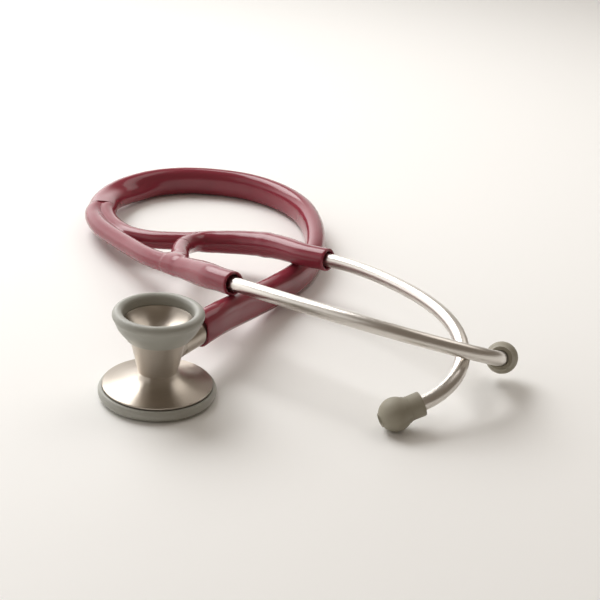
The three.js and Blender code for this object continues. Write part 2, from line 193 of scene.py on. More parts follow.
def rounded(outline, radius, steps=4):
    """An outline of (r, z) points with its corners rounded. The ends of an outline that starts on the
    axis stay as they are, and so do corners that are nearly straight."""
    nearly_straight, most_of_side = math.radians(165), 0.45
    outline = np.asarray(outline, float)
    closed = outline[0][0] > 0
    result = []
    for i, corner in enumerate(outline):
        if not closed and i in (0, len(outline) - 1):
            result.append(corner)
            continue
        back = outline[i - 1] - corner
        ahead = outline[(i + 1) % len(outline)] - corner
        lengths = np.linalg.norm(back), np.linalg.norm(ahead)
        bend = math.acos(max(-1.0, min(1.0, back @ ahead / (lengths[0] * lengths[1]))))
        if bend > nearly_straight:
            result.append(corner)
            continue
        reach = min(radius / math.tan(bend / 2), most_of_side * min(lengths))
        start, end = corner + back / lengths[0] * reach, corner + ahead / lengths[1] * reach
        for t in np.linspace(0, 1, steps + 1):
            result.append(start * (1 - t) ** 2 + corner * 2 * t * (1 - t) + end * t**2)
    return result


def arc(centre, radius, first, last, steps):
    """Points (r, z) along an arc, with its angles in degrees."""
    angles = np.radians(np.linspace(first, last, steps + 1))
    return [[centre[0] + radius * math.cos(a), centre[1] + radius * math.sin(a)] for a in angles]


def upright_frames(line, roll=None):
    """Tangent, sideways and rising directions along a line, rolled about it if asked."""
    tangent = unit(np.gradient(line, axis=0))
    side = unit(np.cross(UP, tangent))
    rise = np.cross(tangent, side)
    if roll is not None:
        c, s = np.cos(roll)[:, None], np.sin(roll)[:, None]
        side, rise = side * c + rise * s, rise * c - side * s
    return tangent, side, rise


# ---------------------------------------------------------------- meshes

SHARP_ANGLE = math.radians(38)


def new_piece(name, vertices, faces, local=None, flow=None):
    """A smooth-shaded closed mesh from vertices in mm. local holds each vertex's place in the piece's
    own frame, for its texture, and flow each face corner's (around, along), for its brushing."""
    mesh = bpy.data.meshes.new(name)
    mesh.from_pydata((np.asarray(vertices) * MM).tolist(), [], faces)
    if flow is not None:
        mesh.uv_layers.new(name="flow").uv.foreach_set("vector", np.asarray(flow, np.float32).ravel())
    grain = mesh.attributes.new("local", "FLOAT_VECTOR", "POINT")
    grain.data.foreach_set("vector", np.asarray(vertices if local is None else local, np.float32).ravel())
    work = bmesh.new()
    work.from_mesh(mesh)
    bmesh.ops.recalc_face_normals(work, faces=work.faces)
    work.to_mesh(mesh)
    work.free()
    mesh.shade_smooth()
    mesh.set_sharp_from_angle(angle=SHARP_ANGLE)
    piece = bpy.data.objects.new(name, mesh)
    bpy.context.scene.collection.objects.link(piece)
    return piece


def joined_rings(name, rings, local, closed):
    """Skins a list of rings, each an array of points. A ring of one point is a pole. If closed, the
    last ring joins the first. local has the same shape as rings."""
    starts = np.concatenate([[0], np.cumsum([len(ring) for ring in rings])])
    faces, flow = [], []
    count = len(rings)
    for i in range(count if closed else count - 1):
        k = (i + 1) % count
        low, high = starts[i], starts[k]
        around = max(len(rings[i]), len(rings[k]))
        v0, v1 = i / count, (i + 1) / count
        for j in range(around):
            n = (j + 1) % around
            u0, u1 = j / around, (j + 1) / around
            if len(rings[i]) == 1:
                faces.append([low, high + n, high + j])
                flow += [(u0, v0), (u1, v1), (u0, v1)]
            elif len(rings[k]) == 1:
                faces.append([low + j, low + n, high])
                flow += [(u0, v0), (u1, v0), (u0, v1)]
            else:
                faces.append([low + j, low + n, high + n, high + j])
                flow += [(u0, v0), (u1, v0), (u1, v1), (u0, v1)]
    return new_piece(name, np.vstack(rings), faces, np.vstack(local), flow)


def turned(name, profile, at=(0, 0, 0), axis=UP, segments=SEGMENTS):
    """A turned piece from (radius, height) points about an axis through a point."""
    on_axis = 1e-6
    circle = circle_outline(1, segments)
    rings = []
    for radius, height in profile:
        around = circle if radius > on_axis else circle[:1]
        rings.append(np.column_stack([around * radius, np.full(len(around), height)]))
    turn = np.array(Vector(UP).rotation_difference(Vector(axis)).to_matrix())
    placed = [ring @ turn.T + np.asarray(at, float) for ring in rings]
    return joined_rings(name, placed, rings, closed=profile[0][0] > on_axis)


def swept(name, line, frames, sections, closed=False):
    """Skins sections along a line. sections is a list of (step, offset, outline), where the outline's
    (across, up) points lie at that step of the line, shifted by the offset along it."""
    tangent, side, rise = frames
    travelled = distance_along(line)
    rings, local = [], []
    for step, offset, outline in sections:
        outline = np.atleast_2d(outline)
        centre = line[step] + tangent[step] * offset
        rings.append(centre + outline[:, :1] * side[step] + outline[:, 1:] * rise[step])
        local.append(np.column_stack([outline, np.full(len(outline), travelled[step] + offset)]))
    return joined_rings(name, rings, local, closed)


def swept_bar(name, line, outline):
    """A bar of one section along a line, closed at both ends."""
    last, centre = len(line) - 1, [[0, 0]]
    sections = [(0, 0, centre), *((step, 0, outline) for step in range(last + 1)), (last, 0, centre)]
    return swept(name, line, upright_frames(line), sections)


def boolean(piece, cutter, operation):
    """Joins the cutter to the piece or cuts it away, and removes the cutter."""
    modifier = piece.modifiers.new("cut", "BOOLEAN")
    modifier.object = cutter
    modifier.operation = operation
    modifier.solver = "EXACT"
    graph = bpy.context.evaluated_depsgraph_get()
    made = bpy.data.meshes.new_from_object(piece.evaluated_get(graph))
    piece.modifiers.clear()
    piece.data = made
    made.set_sharp_from_angle(angle=SHARP_ANGLE)
    bpy.data.objects.remove(cutter)


# ---------------------------------------------------------------- materials


def mixed_color(tree, factor, first, second):
    """A colour mixed between two. A Mix node's colour sockets share their names with its number
    sockets, so they are found by index."""
    mix = tree.nodes.new("ShaderNodeMix")
    mix.data_type = "RGBA"
    mix.inputs[6].default_value = (*first, 1)
    mix.inputs[7].default_value = (*second, 1)
    tree.links.new(factor, mix.inputs[0])
    return mix.outputs[2]


class Finish:
    """A Principled material and the few nodes that its grain needs."""

    def __init__(self, name, color, roughness, metallic=0.0, **sockets):
        self.material = bpy.data.materials.new(name)
        self.material.use_nodes = True
        self.tree = self.material.node_tree
        self.shader = self.tree.nodes["Principled BSDF"]
        self.shader.inputs["Base Color"].default_value = (*color, 1)
        self.shader.inputs["Roughness"].default_value = roughness
        self.shader.inputs["Metallic"].default_value = metallic
        for socket, value in sockets.items():
            self.shader.inputs[socket.replace("_", " ")].default_value = value

    def node(self, kind, **inputs):
        made = self.tree.nodes.new("ShaderNode" + kind)
        for socket, value in inputs.items():
            target = made.inputs[socket.replace("_", " ")]
            if isinstance(value, bpy.types.NodeSocket):
                self.tree.links.new(value, target)
            else:
                target.default_value = value
        return made

    def vector_math(self, operation, vector, factor=None):
        made = self.tree.nodes.new("ShaderNodeVectorMath")
        made.operation = operation
        self.tree.links.new(vector, made.inputs[0])
        if factor is not None:
            made.inputs[1].default_value = factor
        return made.outputs["Value" if operation == "LENGTH" else "Vector"]

    def unstretched(self):
        """The piece's own place, in mm."""
        attribute = self.tree.nodes.new("ShaderNodeAttribute")
        attribute.attribute_name = "local"
        return attribute.outputs["Vector"]

    def local(self, stretch=(1, 1, 1)):
        """The piece's own place, in mm, stretched."""
        return self.vector_math("MULTIPLY", self.unstretched(), stretch)

    def turned_place(self, stretch):
        """(distance from the axis in mm, height in mm, cosine of the angle), stretched."""
        x, y, height = self.node("SeparateXYZ", Vector=self.unstretched()).outputs
        flat = self.node("CombineXYZ", X=x, Y=y).outputs[0]
        direction = self.node("SeparateXYZ", Vector=self.vector_math("NORMALIZE", flat))
        joined = self.node(
            "CombineXYZ", X=self.vector_math("LENGTH", flat), Y=height, Z=direction.outputs["X"]
        )
        return self.vector_math("MULTIPLY", joined.outputs[0], stretch)

    def noise(self, vector, scale, detail=3.0, roughness=0.5):
        texture = self.node("TexNoise", Vector=vector, Scale=scale, Detail=detail, Roughness=roughness)
        return texture.outputs[0]

    def spread(self, value, low, high):
        """A 0 to 1 texture value brought to the range low to high."""
        return self.node("MapRange", Value=value, To_Min=low, To_Max=high).outputs[0]

    def tint(self, value, first, second):
        """The base colour, mixed between two by a texture value."""
        mixed = mixed_color(self.tree, value, first, second)
        self.tree.links.new(mixed, self.shader.inputs["Base Color"])

    def rough(self, value, low, high):
        self.tree.links.new(self.spread(value, low, high), self.shader.inputs["Roughness"])

    def bumps(self, *layers):
        """Stacks (value, depth in mm) layers of bump."""
        normal = None
        for value, depth in layers:
            bump = self.node("Bump", Height=value, Distance=depth * MM)
            if normal is not None:
                self.tree.links.new(normal, bump.inputs["Normal"])
            normal = bump.outputs["Normal"]
        self.tree.links.new(normal, self.shader.inputs["Normal"])

    def brushed_round(self):
        """Anisotropic highlights from brushing that runs round the piece."""
        tangent = self.tree.nodes.new("ShaderNodeTangent")
        tangent.direction_type = "UV_MAP"
        tangent.uv_map = "flow"
        self.tree.links.new(tangent.outputs[0], self.shader.inputs["Tangent"])


def pvc():
    """Glossy burgundy tubing: slight waviness, faint bloom and fine dust in the gloss."""
    finish = Finish("burgundy_pvc", (0.25, 0.034, 0.052), roughness=0.16, IOR=1.46)
    place = finish.local()
    bloom = finish.noise(place, scale=0.05, detail=2)
    waviness = finish.noise(place, scale=0.12, detail=1)
    dust = finish.noise(place, scale=1.4, detail=4, roughness=0.6)
    finish.tint(finish.spread(bloom, -0.3, 1.3), (0.23, 0.030, 0.047), (0.27, 0.038, 0.057))
    finish.rough(dust, 0.12, 0.20)
    finish.bumps((waviness, 0.08), (dust, 0.010))
    return finish.material


def turned_steel():
    """Satin stainless steel, brushed round the axis."""
    finish = Finish(
        "turned_steel", (0.55, 0.493, 0.43), roughness=0.32, metallic=1.0,
        Anisotropic=0.9, Anisotropic_Rotation=0.25,
    )
    lines = finish.noise(finish.turned_place((1, 1, 0.25)), scale=9.0, detail=5, roughness=0.7)
    broad = finish.noise(finish.local(), scale=0.10, detail=2)
    finish.tint(lines, (0.45, 0.40, 0.34), (0.60, 0.543, 0.48))
    finish.rough(broad, 0.30, 0.40)
    finish.bumps((lines, 0.010))
    finish.brushed_round()
    return finish.material


def drawn_steel():
    """Ear tube steel, polished along its length."""
    finish = Finish("drawn_steel", (0.70, 0.665, 0.62), roughness=0.27, metallic=1.0, Anisotropic=0.4)
    lines = finish.noise(finish.local((1, 1, 0.03)), scale=7.0, detail=4, roughness=0.65)
    broad = finish.noise(finish.local(), scale=0.08, detail=2)
    finish.tint(lines, (0.64, 0.605, 0.56), (0.75, 0.715, 0.67))
    finish.rough(broad, 0.27, 0.35)
    finish.bumps((lines, 0.006))
    finish.brushed_round()
    return finish.material


def machined_steel(name, color, low, high):
    """Steel of the small hidden parts, with fine turning lines and a roughness from low to high."""
    darker, lighter = 0.85, 1.12
    finish = Finish(name, color, roughness=low, metallic=1.0)
    lines = finish.noise(finish.turned_place((1, 1, 0.4)), scale=12.0, detail=3)
    finish.tint(lines, tuple(darker * c for c in color), tuple(min(1, lighter * c) for c in color))
    finish.rough(lines, low, high)
    finish.bumps((lines, 0.006))
    return finish.material


def silicone():
    """Smooth grey-green non-chill rings."""
    finish = Finish("grey_silicone", (0.37, 0.367, 0.328), roughness=0.38, IOR=1.45)
    fine = finish.noise(finish.local(), scale=2.2, detail=5, roughness=0.65)
    broad = finish.noise(finish.local(), scale=0.12, detail=2)
    finish.tint(broad, (0.345, 0.342, 0.306), (0.395, 0.392, 0.35))
    finish.rough(fine, 0.32, 0.46)
    finish.bumps((fine, 0.014))
    return finish.material


def ear_rubber():
    """Soft matte olive grey."""
    finish = Finish("ear_rubber", (0.32, 0.295, 0.23), roughness=0.55, IOR=1.45)
    fine = finish.noise(finish.local(), scale=2.6, detail=5, roughness=0.7)
    broad = finish.noise(finish.local(), scale=0.16, detail=2)
    finish.tint(broad, (0.30, 0.275, 0.213), (0.34, 0.313, 0.246))
    finish.rough(fine, 0.48, 0.64)
    finish.bumps((fine, 0.03))
    return finish.material


def resin():
    """Diaphragm sheet: glass fibre cloth under a thin skin of resin."""
    finish = Finish("diaphragm_resin", (0.66, 0.62, 0.50), roughness=0.35, IOR=1.5)
    place = finish.local()
    weave = finish.tree.nodes.new("ShaderNodeMath")
    weave.operation = "MULTIPLY"
    for direction, factor in zip(("X", "Y"), weave.inputs):
        wave = finish.node("TexWave", Vector=place, Scale=0.9, Distortion=0.4)
        wave.bands_direction = direction
        finish.tree.links.new(wave.outputs[0], factor)
    finish.tint(weave.outputs[0], (0.60, 0.56, 0.44), (0.70, 0.66, 0.55))
    finish.rough(weave.outputs[0], 0.28, 0.42)
    finish.bumps((weave.outputs[0], 0.02))
    return finish.material


def seal_rubber():
    finish = Finish("seal_rubber", (0.02, 0.02, 0.02), roughness=0.6)
    fine = finish.noise(finish.local(), scale=3.0, detail=3)
    finish.tint(fine, (0.014, 0.014, 0.014), (0.028, 0.028, 0.027))
    finish.rough(fine, 0.5, 0.7)
    finish.bumps((fine, 0.01))
    return finish.material


PVC = pvc()
TURNED_STEEL = turned_steel()
DRAWN_STEEL = drawn_steel()
SPRING_STEEL = machined_steel("spring_steel", (0.42, 0.42, 0.43), 0.30, 0.42)
SCREW_STEEL = machined_steel("screw_steel", (0.52, 0.51, 0.49), 0.28, 0.40)
SILICONE = silicone()
EAR_RUBBER = ear_rubber()
RESIN = resin()
SEAL_RUBBER = seal_rubber()


def place(piece, body, material, slot, *nodes):
    """Gives a piece its material, its body and the CAD nodes that it stands for."""
    piece.data.materials.clear()
    piece.data.materials.append(material)
    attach(piece, body)
    if nodes:
        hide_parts(*nodes)
    return piece


# ---------------------------------------------------------------- main tube, a free cord


def smooth_min(a, b, blend):
    """The smaller of two distances, run into each other over the blend."""
    overlap = np.maximum(blend - np.abs(a - b), 0)
    return np.minimum(a, b) - overlap**2 / (4 * blend)


def smooth_max(a, b, blend):
    return -smooth_min(-a, -b, blend)


def twin_outline(inset, sides=72, halvings=30):
    """The twin-bore section: two round lobes one above the other with a soft groove between them. Its
    radius along each ray is found by halving the interval that holds it."""
    ray = circle_outline(1, sides)
    near, far = np.zeros(sides), np.full(sides, TWIN_HEIGHT)
    for _ in range(halvings):
        middle = (near + far) / 2
        point = ray * middle[:, None]
        lobes = [np.linalg.norm(point - (0, z), axis=1) - LOBE_RADIUS for z in (LOBE_OFFSET, -LOBE_OFFSET)]
        outside = smooth_min(*lobes, GROOVE_BLEND) > -inset
        near, far = np.where(outside, near, middle), np.where(outside, middle, far)
    return ray * near[:, None]


MAIN_LINE = smooth_route(MAIN_ROUTE, 1.5)


def twin_roll(line):
    """The section's roll at each point: a quarter turn towards the fork."""
    along = np.linspace(0, 1, len(line))
    share = np.clip((along - TWIN_ROLL_START) / (TWIN_ROLL_END - TWIN_ROLL_START), 0, 1)
    return math.pi / 2 * share**2 * (3 - 2 * share)


def main_tube():
    """The tube's mouth is hollow round the stem. Its far end runs a little way into the yoke."""
    frames = upright_frames(MAIN_LINE, twin_roll(MAIN_LINE))
    last = len(MAIN_LINE) - 1
    # both ends as (distance along, inset) pairs, in mm
    mouth = [(3.0, 0.9), (0.5, 0.9), (0.12, 0.8), (0.0, 0.55), (0.0, 0.4), (0.12, 0.12), (0.45, 0.0)]
    far_end = [(0.0, 0.0), (0.1, 0.5), (1.5, 0.8)]
    full = twin_outline(0)
    sections = [(0, mouth[0][0], [[0, 0]])]
    sections += [(0, offset, twin_outline(inset)) for offset, inset in mouth]
    sections += [(step, 0, full) for step in range(1, last)]
    sections += [(last, offset, twin_outline(inset)) for offset, inset in far_end]
    sections.append((last, far_end[-1][0], [[0, 0]]))
    piece = swept("twin_tube", MAIN_LINE, frames, sections)
    place(piece, "tubing", PVC, "tubing_pvc", "main_tube")


main_tube()

# ---------------------------------------------------------------- yoke


def ear_line(ear):
    """The ear tube's centre line: straight in the arm, then a bend in one plane that tightens
    towards the ear, then straight in the ear tip."""
    heading, rise, twist = (math.radians(ear[key]) for key in ("heading", "rise", "twist"))
    forward = np.array([
        math.cos(rise) * math.cos(heading), math.cos(rise) * math.sin(heading), math.sin(rise),
    ])
    left = unit(np.cross(UP, forward))
    inward = left * math.cos(twist) + np.cross(forward, left) * math.sin(twist)
    steps = 180
    stride = EAR_CURVE_LENGTH / steps
    spot, angle = np.array(ear["start"]), 0.0
    points = [spot - forward * SLEEVE_DEPTH, spot]
    for i in range(steps):
        along = (i + 0.5) / steps * (len(EAR_CURVATURE) - 1)
        bend = np.interp(along, range(len(EAR_CURVATURE)), EAR_CURVATURE) * stride
        heading_now = angle + bend / 2
        spot = spot + stride * (forward * math.cos(heading_now) + inward * math.sin(heading_now))
        angle += bend
        points.append(spot)
    outward = forward * math.cos(angle) + inward * math.sin(angle)
    points.append(spot + outward * TIP_DEPTH)
    return {
        "line": resampled(np.array(points), 1.0), "start": np.array(ear["start"]),
        "forward": forward, "end": spot, "outward": outward,
    }


FRONT_LINE = ear_line(FRONT_EAR)
REAR_LINE = ear_line(REAR_EAR)


def tube_distance(points, line, radii):
    """Signed distance from points to a round tube of varying radius about a line."""
    best = np.full(len(points), np.inf)
    for a, b, ra, rb in zip(line, line[1:], radii, radii[1:]):
        span = b - a
        from_a = points - a
        share = np.clip(from_a @ span / (span @ span), 0, 1)
        away = from_a - share[:, None] * span
        best = np.minimum(best, np.sqrt(np.einsum("ij,ij->i", away, away)) - (ra + (rb - ra) * share))
    return best


def half_tube(side, branch, arm_points, line, arm_radii):
    """One branch and its arm as a line and its radii, from inside the main tube to beyond the sleeve's
    mouth. arm_radii holds (distance past the pivot, radius) pairs, with the swelling over the end of the
    leaf spring."""
    inside, beyond = 6, 4
    tangent, across, _ = (v[-1] for v in upright_frames(MAIN_LINE))
    lobe = MAIN_LINE[-1] + across * side * LOBE_OFFSET
    back = line["start"] - line["forward"] * (SLEEVE_DEPTH + 2)
    ends = [line["start"], line["start"] + line["forward"] * beyond]
    route = smooth_route([lobe - tangent * inside, lobe, *branch, *arm_points, back, *ends], 2.0)
    along = distance_along(route)
    pivot = along[np.argmin(np.linalg.norm(route - np.array(branch[-1]), axis=1))]
    mouth = along[-1] - beyond
    stations = [(0, LOBE_RADIUS), (8, LOBE_RADIUS), (20, BRANCH_RADIUS), (pivot - 12, BRANCH_RADIUS)]
    stations += [(pivot + distance, radius) for distance, radius in arm_radii]
    stations += [(mouth - 10, ARM_RADIUS - 0.05), (mouth + beyond, ARM_RADIUS)]
    return route, np.interp(along, *zip(*stations))


def plane_distance(points, origin, normal):
    return (points - origin) @ normal


def bore_distance(points, line, radius, depth):
    """Signed distance to a round hole that runs back from the sleeve's mouth."""
    relative = points - line["start"]
    along = relative @ line["forward"]
    across = np.linalg.norm(relative - along[:, None] * line["forward"], axis=1)
    return np.maximum(across - radius, -along - depth)


class Yoke:
    """The moulding as a distance field: both branches, both arms and the bridge between them."""

    BRIDGE_STEP, BRIDGE_EVERY = 0.5, 4            # its line is drawn finely and then thinned out
    BRIDGE_LOBE_BLEND, SEAM_BLEND = 1.0, 0.3
    MOUTH_BLEND, SOCKET_STEP_BLEND, SOCKET_EDGE_BLEND = 1.1, 0.8, 0.7

    def __init__(self):
        front_radii = [(-10, 4.75), (0, 4.9), (8, 5.4), (16, 5.8), (26, 5.8)]
        rear_radii = [(0, 5.3), (8, 5.7), (18, 5.9), (25, 6.0), (29, 6.35), (33, 6.0), (42, 5.8)]
        self.front = half_tube(-1, FRONT_BRANCH_ROUTE, FRONT_ARM_POINTS, FRONT_LINE, front_radii)
        self.rear = half_tube(1, REAR_BRANCH_ROUTE, REAR_ARM_POINTS, REAR_LINE, rear_radii)
        bridge = smooth_route(BRIDGE_ROUTE, self.BRIDGE_STEP)
        self.bridge = bridge[round(BRIDGE_INSET / self.BRIDGE_STEP)::self.BRIDGE_EVERY]
        self.seam = MAIN_LINE[-1]
        self.seam_normal = upright_frames(MAIN_LINE)[0][-1]

    def bridge_distance(self, points, line):
        """Signed distance to the bridge: two lobes one above the other, thinner at the front arm."""
        from_front = np.linalg.norm(line - np.array(FRONT_PIVOT), axis=1)
        thinning = np.clip(1 - (from_front - BRIDGE_INSET) / BRIDGE_TAPER_LENGTH, 0, 1)
        radii = BRIDGE_RADIUS - BRIDGE_TAPER * thinning
        lobes = [tube_distance(points, line + UP * z, radii) for z in (BRIDGE_OFFSET, -BRIDGE_OFFSET)]
        return smooth_min(*lobes, self.BRIDGE_LOBE_BLEND)

    def distance(self, points):
        """Signed distance to the whole moulding, cut off square where it meets the main tube and at
        the sleeves' mouths, with the sockets for the ear tubes cut out."""
        front = tube_distance(points, *self.front)
        front = smooth_min(front, self.bridge_distance(points, self.bridge), WEB_BLEND)
        body = smooth_min(front, tube_distance(points, *self.rear), JOIN_BLEND)
        body = smooth_max(body, -plane_distance(points, self.seam, self.seam_normal), self.SEAM_BLEND)
        for line in (FRONT_LINE, REAR_LINE):
            near = np.linalg.norm(points - line["start"], axis=1) < 3 * ARM_RADIUS
            spot = points[near]
            mouth = plane_distance(spot, line["start"], line["forward"])
            cut = smooth_max(body[near], mouth, self.MOUTH_BLEND)
            relief = bore_distance(spot, line, SOCKET_MOUTH_RADIUS, SOCKET_MOUTH_DEPTH)
            bore = bore_distance(spot, line, SOCKET_RADIUS, SOCKET_DEPTH)
            socket = smooth_min(relief, bore, self.SOCKET_STEP_BLEND)
            body[near] = smooth_max(cut, -socket, self.SOCKET_EDGE_BLEND)
        return body

    def in_front(self, points):
        """True where a point belongs to the front half of the moulding."""
        middle = len(self.bridge) // 2
        halves = [(self.front, self.bridge[: middle + 1]), (self.rear, self.bridge[middle:])]
        front, rear = (
            np.minimum(tube_distance(points, *tube), self.bridge_distance(points, bridge))
            for tube, bridge in halves
        )
        return front < rear


def surface_net(values, low, step):
    """Vertices and quads of the surface where grid values change sign."""
    cells = np.array(values.shape) - 1
    total, count = np.zeros((*cells, 3)), np.zeros(cells)

    def corner(offset):
        return values[tuple(slice(o, o + n) for o, n in zip(offset, cells))]

    for axis in range(3):
        for a in (0, 1):
            for b in (0, 1):
                offset = np.insert([a, b], axis, 0)
                first, second = corner(offset), corner(offset + np.eye(3, dtype=int)[axis])
                crossed = (first < 0) != (second < 0)
                spot = np.tile(offset.astype(float), (crossed.sum(), 1))
                spot[:, axis] += first[crossed] / (first[crossed] - second[crossed])
                total[crossed] += spot
                count[crossed] += 1
    active = count > 0
    index = np.full(cells, -1)
    index[active] = np.arange(active.sum())
    vertices = low + step * (np.argwhere(active) + total[active] / count[active][:, None])
    quads = []
    for axis in range(3):
        other = [k for k in range(3) if k != axis]
        span = [slice(1, n) for n in cells]
        span[axis] = slice(0, cells[axis])
        ahead = list(span)
        ahead[axis] = slice(1, cells[axis] + 1)
        crossed = np.argwhere((values[tuple(span)] < 0) != (values[tuple(ahead)] < 0))
        crossed[:, other] += 1
        ring = []
        for a, b in ((0, 0), (1, 0), (1, 1), (0, 1)):
            cell = crossed.copy()
            cell[:, other[0]] -= a
            cell[:, other[1]] -= b
            ring.append(index[tuple(cell.T)])
        quads.append(np.column_stack(ring))
    return vertices, np.vstack(quads)


def settled(points, distance, rounds):
    """Moves points along the field's slope until they lie on its surface."""
    reach, least_slope_squared, longest_move = 0.05, 0.2, 0.5
    for _ in range(rounds):
        here = distance(points)
        slope = np.column_stack([
            (distance(points + reach * axis) - distance(points - reach * axis)) / (2 * reach)
            for axis in np.eye(3)
        ])
        move = here / np.maximum(np.einsum("ij,ij->i", slope, slope), least_slope_squared)
        points = points - np.clip(move, -longest_move, longest_move)[:, None] * slope
    return points


def yoke_half(name, vertices, quads, keep):
    """The part of the skin whose faces are kept, closed where it was cut from the other half."""
    chosen = quads[keep]
    used, renumbered = np.unique(chosen, return_inverse=True)
    piece = new_piece(name, vertices[used], renumbered.reshape(chosen.shape).tolist())
    work = bmesh.new()
    work.from_mesh(piece.data)
    open_edges = [edge for edge in work.edges if edge.is_boundary]
    bmesh.ops.holes_fill(work, edges=open_edges, sides=0)
    bmesh.ops.triangulate(work, faces=[face for face in work.faces if len(face.verts) > 4])
    bmesh.ops.recalc_face_normals(work, faces=work.faces)
    for face in work.faces:
        face.smooth = True
    work.to_mesh(piece.data)
    work.free()
    return piece


def yoke():
    """Skins the moulding in two halves. The field is worked out on a coarse grid, and again at each
    fine point near the surface."""
    moulding = Yoke()
    step = 0.6
    coarse, margin, near_cells = 4, 9, 1.6
    routes = np.vstack([moulding.front[0], moulding.rear[0], moulding.bridge])
    low = routes.min(axis=0) - margin
    size = np.ceil((routes.max(axis=0) + margin - low) / (step * coarse)).astype(int) * coarse
    axes = [low[k] + step * np.arange(size[k]) for k in range(3)]
    rough_axes = [axis[::coarse] + step * (coarse - 1) / 2 for axis in axes]
    rough_points = np.stack(np.meshgrid(*rough_axes, indexing="ij"), -1)
    values = moulding.distance(rough_points.reshape(-1, 3)).reshape(rough_points.shape[:3])
    for axis in range(3):
        values = np.repeat(values, coarse, axis)
    near = np.argwhere(np.abs(values) < step * coarse * near_cells)
    values[tuple(near.T)] = moulding.distance(low + step * near)
    vertices, quads = surface_net(values, low, step)
    vertices = settled(vertices, moulding.distance, rounds=3)
    front = moulding.in_front(vertices)
    in_front = front[quads].sum(axis=1) >= 2
    halves = [
        ("front", in_front, FRONT_BRANCH_ROUTE, ("front_branch", "front_arm")),
        ("rear", ~in_front, REAR_BRANCH_ROUTE, ("rear_branch", "rear_arm", "yoke_bridge")),
    ]
    for side, keep, branch, nodes in halves:
        piece = yoke_half(f"{side}_yoke_moulding", vertices, quads, keep)
        piece.data.materials.append(PVC)
        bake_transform(piece)
        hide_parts(*nodes)


yoke()


def leaf_spring():
    """The flat spring inside the bridge, with rounded edges. It stops short of both arms."""
    half_thickness, half_height, points_short = 0.4, 3.0, 5
    line = smooth_route(BRIDGE_ROUTE, 1.5)[points_short:-points_short]
    corners = [[x * half_thickness, z * half_height] for x, z in ((1, -1), (1, 1), (-1, 1), (-1, -1))]
    piece = swept_bar("leaf_spring", line, rounded(corners, 0.25))
    place(piece, "tubing", SPRING_STEEL, "spring_steel", "yoke_spring")


leaf_spring()

# ---------------------------------------------------------------- headset


def ear_tube(side, line):
    """A hollow steel tube with rounded lips."""
    route = line["line"]
    frames = upright_frames(route)
    last = len(route) - 1
    lip = 0.25
    outer, inner = EAR_TUBE_RADIUS, EAR_TUBE_BORE
    rings = [(0, lip, inner), (0, 0.0, inner + lip), (0, 0.0, outer - lip), (0, lip, outer)]
    rings += [(step, 0, outer) for step in range(1, last)]
    rings += [(last, -lip, outer), (last, 0, outer - lip), (last, 0, inner + lip), (last, -lip, inner)]
    rings += [(step, 0, inner) for step in range(last - 1, 0, -1)]
    sections = [(step, offset, circle_outline(radius, 48)) for step, offset, radius in rings]
    piece = swept(f"{side}_headset_tube", route, frames, sections, closed=True)
    place(piece, f"{side}_ear", DRAWN_STEEL, "ear_tube_steel", f"{side}_ear_tube")


def tip_ferrule(side, line):
    """The grooved collar that the ear tip grips."""
    bore, crest, root, pitch = 3.25, 3.9, 3.6, 1.2
    profile = [[bore, 0.4], [crest, 0.4], [crest, 1.4]]
    for ridge in range(4):
        low = 1.7 + pitch * ridge
        profile += [[root, low], [crest, low + pitch / 2]]
    profile += [[root, 5.8], [bore, 5.8]]
    piece = turned(f"{side}_grip_collar", rounded(profile, 0.12, 3), line["end"], line["outward"], 72)
    place(piece, f"{side}_ear", SCREW_STEEL, "screw_steel", f"{side}_tip_ferrule")


def ear_tip(side, line):
    """A soft tip: collar, parting bead, ball and a thin lip round the outlet."""
    profile = [[3.25, 0.35], [3.45, 0.05], [4.6, 0.0], [4.95, 0.15], [5.1, 0.55], [5.05, 2.2], [5.0, 4.4]]
    profile += [[4.98, 5.35], [5.08, 5.55], [5.0, 5.75], [5.15, 6.2], [5.5, 6.9]]
    profile += arc((0, TIP_BALL_HEIGHT), TIP_BALL_RADIUS, -36, 62, 22)
    profile += [[3.0, 17.75], [2.85, 18.1], [2.55, 18.2], [2.3, 18.0], [2.1, 17.2], [1.9, 16.2]]
    profile += [[1.9, 6.4], [4.15, 6.4], [4.15, 1.1], [3.25, 0.8]]
    piece = turned(f"{side}_soft_tip", profile, line["end"], line["outward"], 112)
    place(piece, f"{side}_tip", EAR_RUBBER, "ear_tip_rubber", f"{side}_ear_tip")


for side_name, side_line in (("front", FRONT_LINE), ("rear", REAR_LINE)):
    ear_tube(side_name, side_line)
    tip_ferrule(side_name, side_line)
    ear_tip(side_name, side_line)

# ---------------------------------------------------------------- chestpiece

STEM_AXIS = np.array([math.cos(STEM_AZIMUTH), math.sin(STEM_AZIMUTH), 0.0])


def cylinder(radius, low, high):
    """A plain cylinder's profile."""
    return [[0, low], [radius, low], [radius, high], [0, high]]


def on_stem(distance, z=STEM_Z):
    """A point at a distance along the stem's axis from the chestpiece's, at a height."""
    return np.array([*(STEM_AXIS[:2] * distance), z])


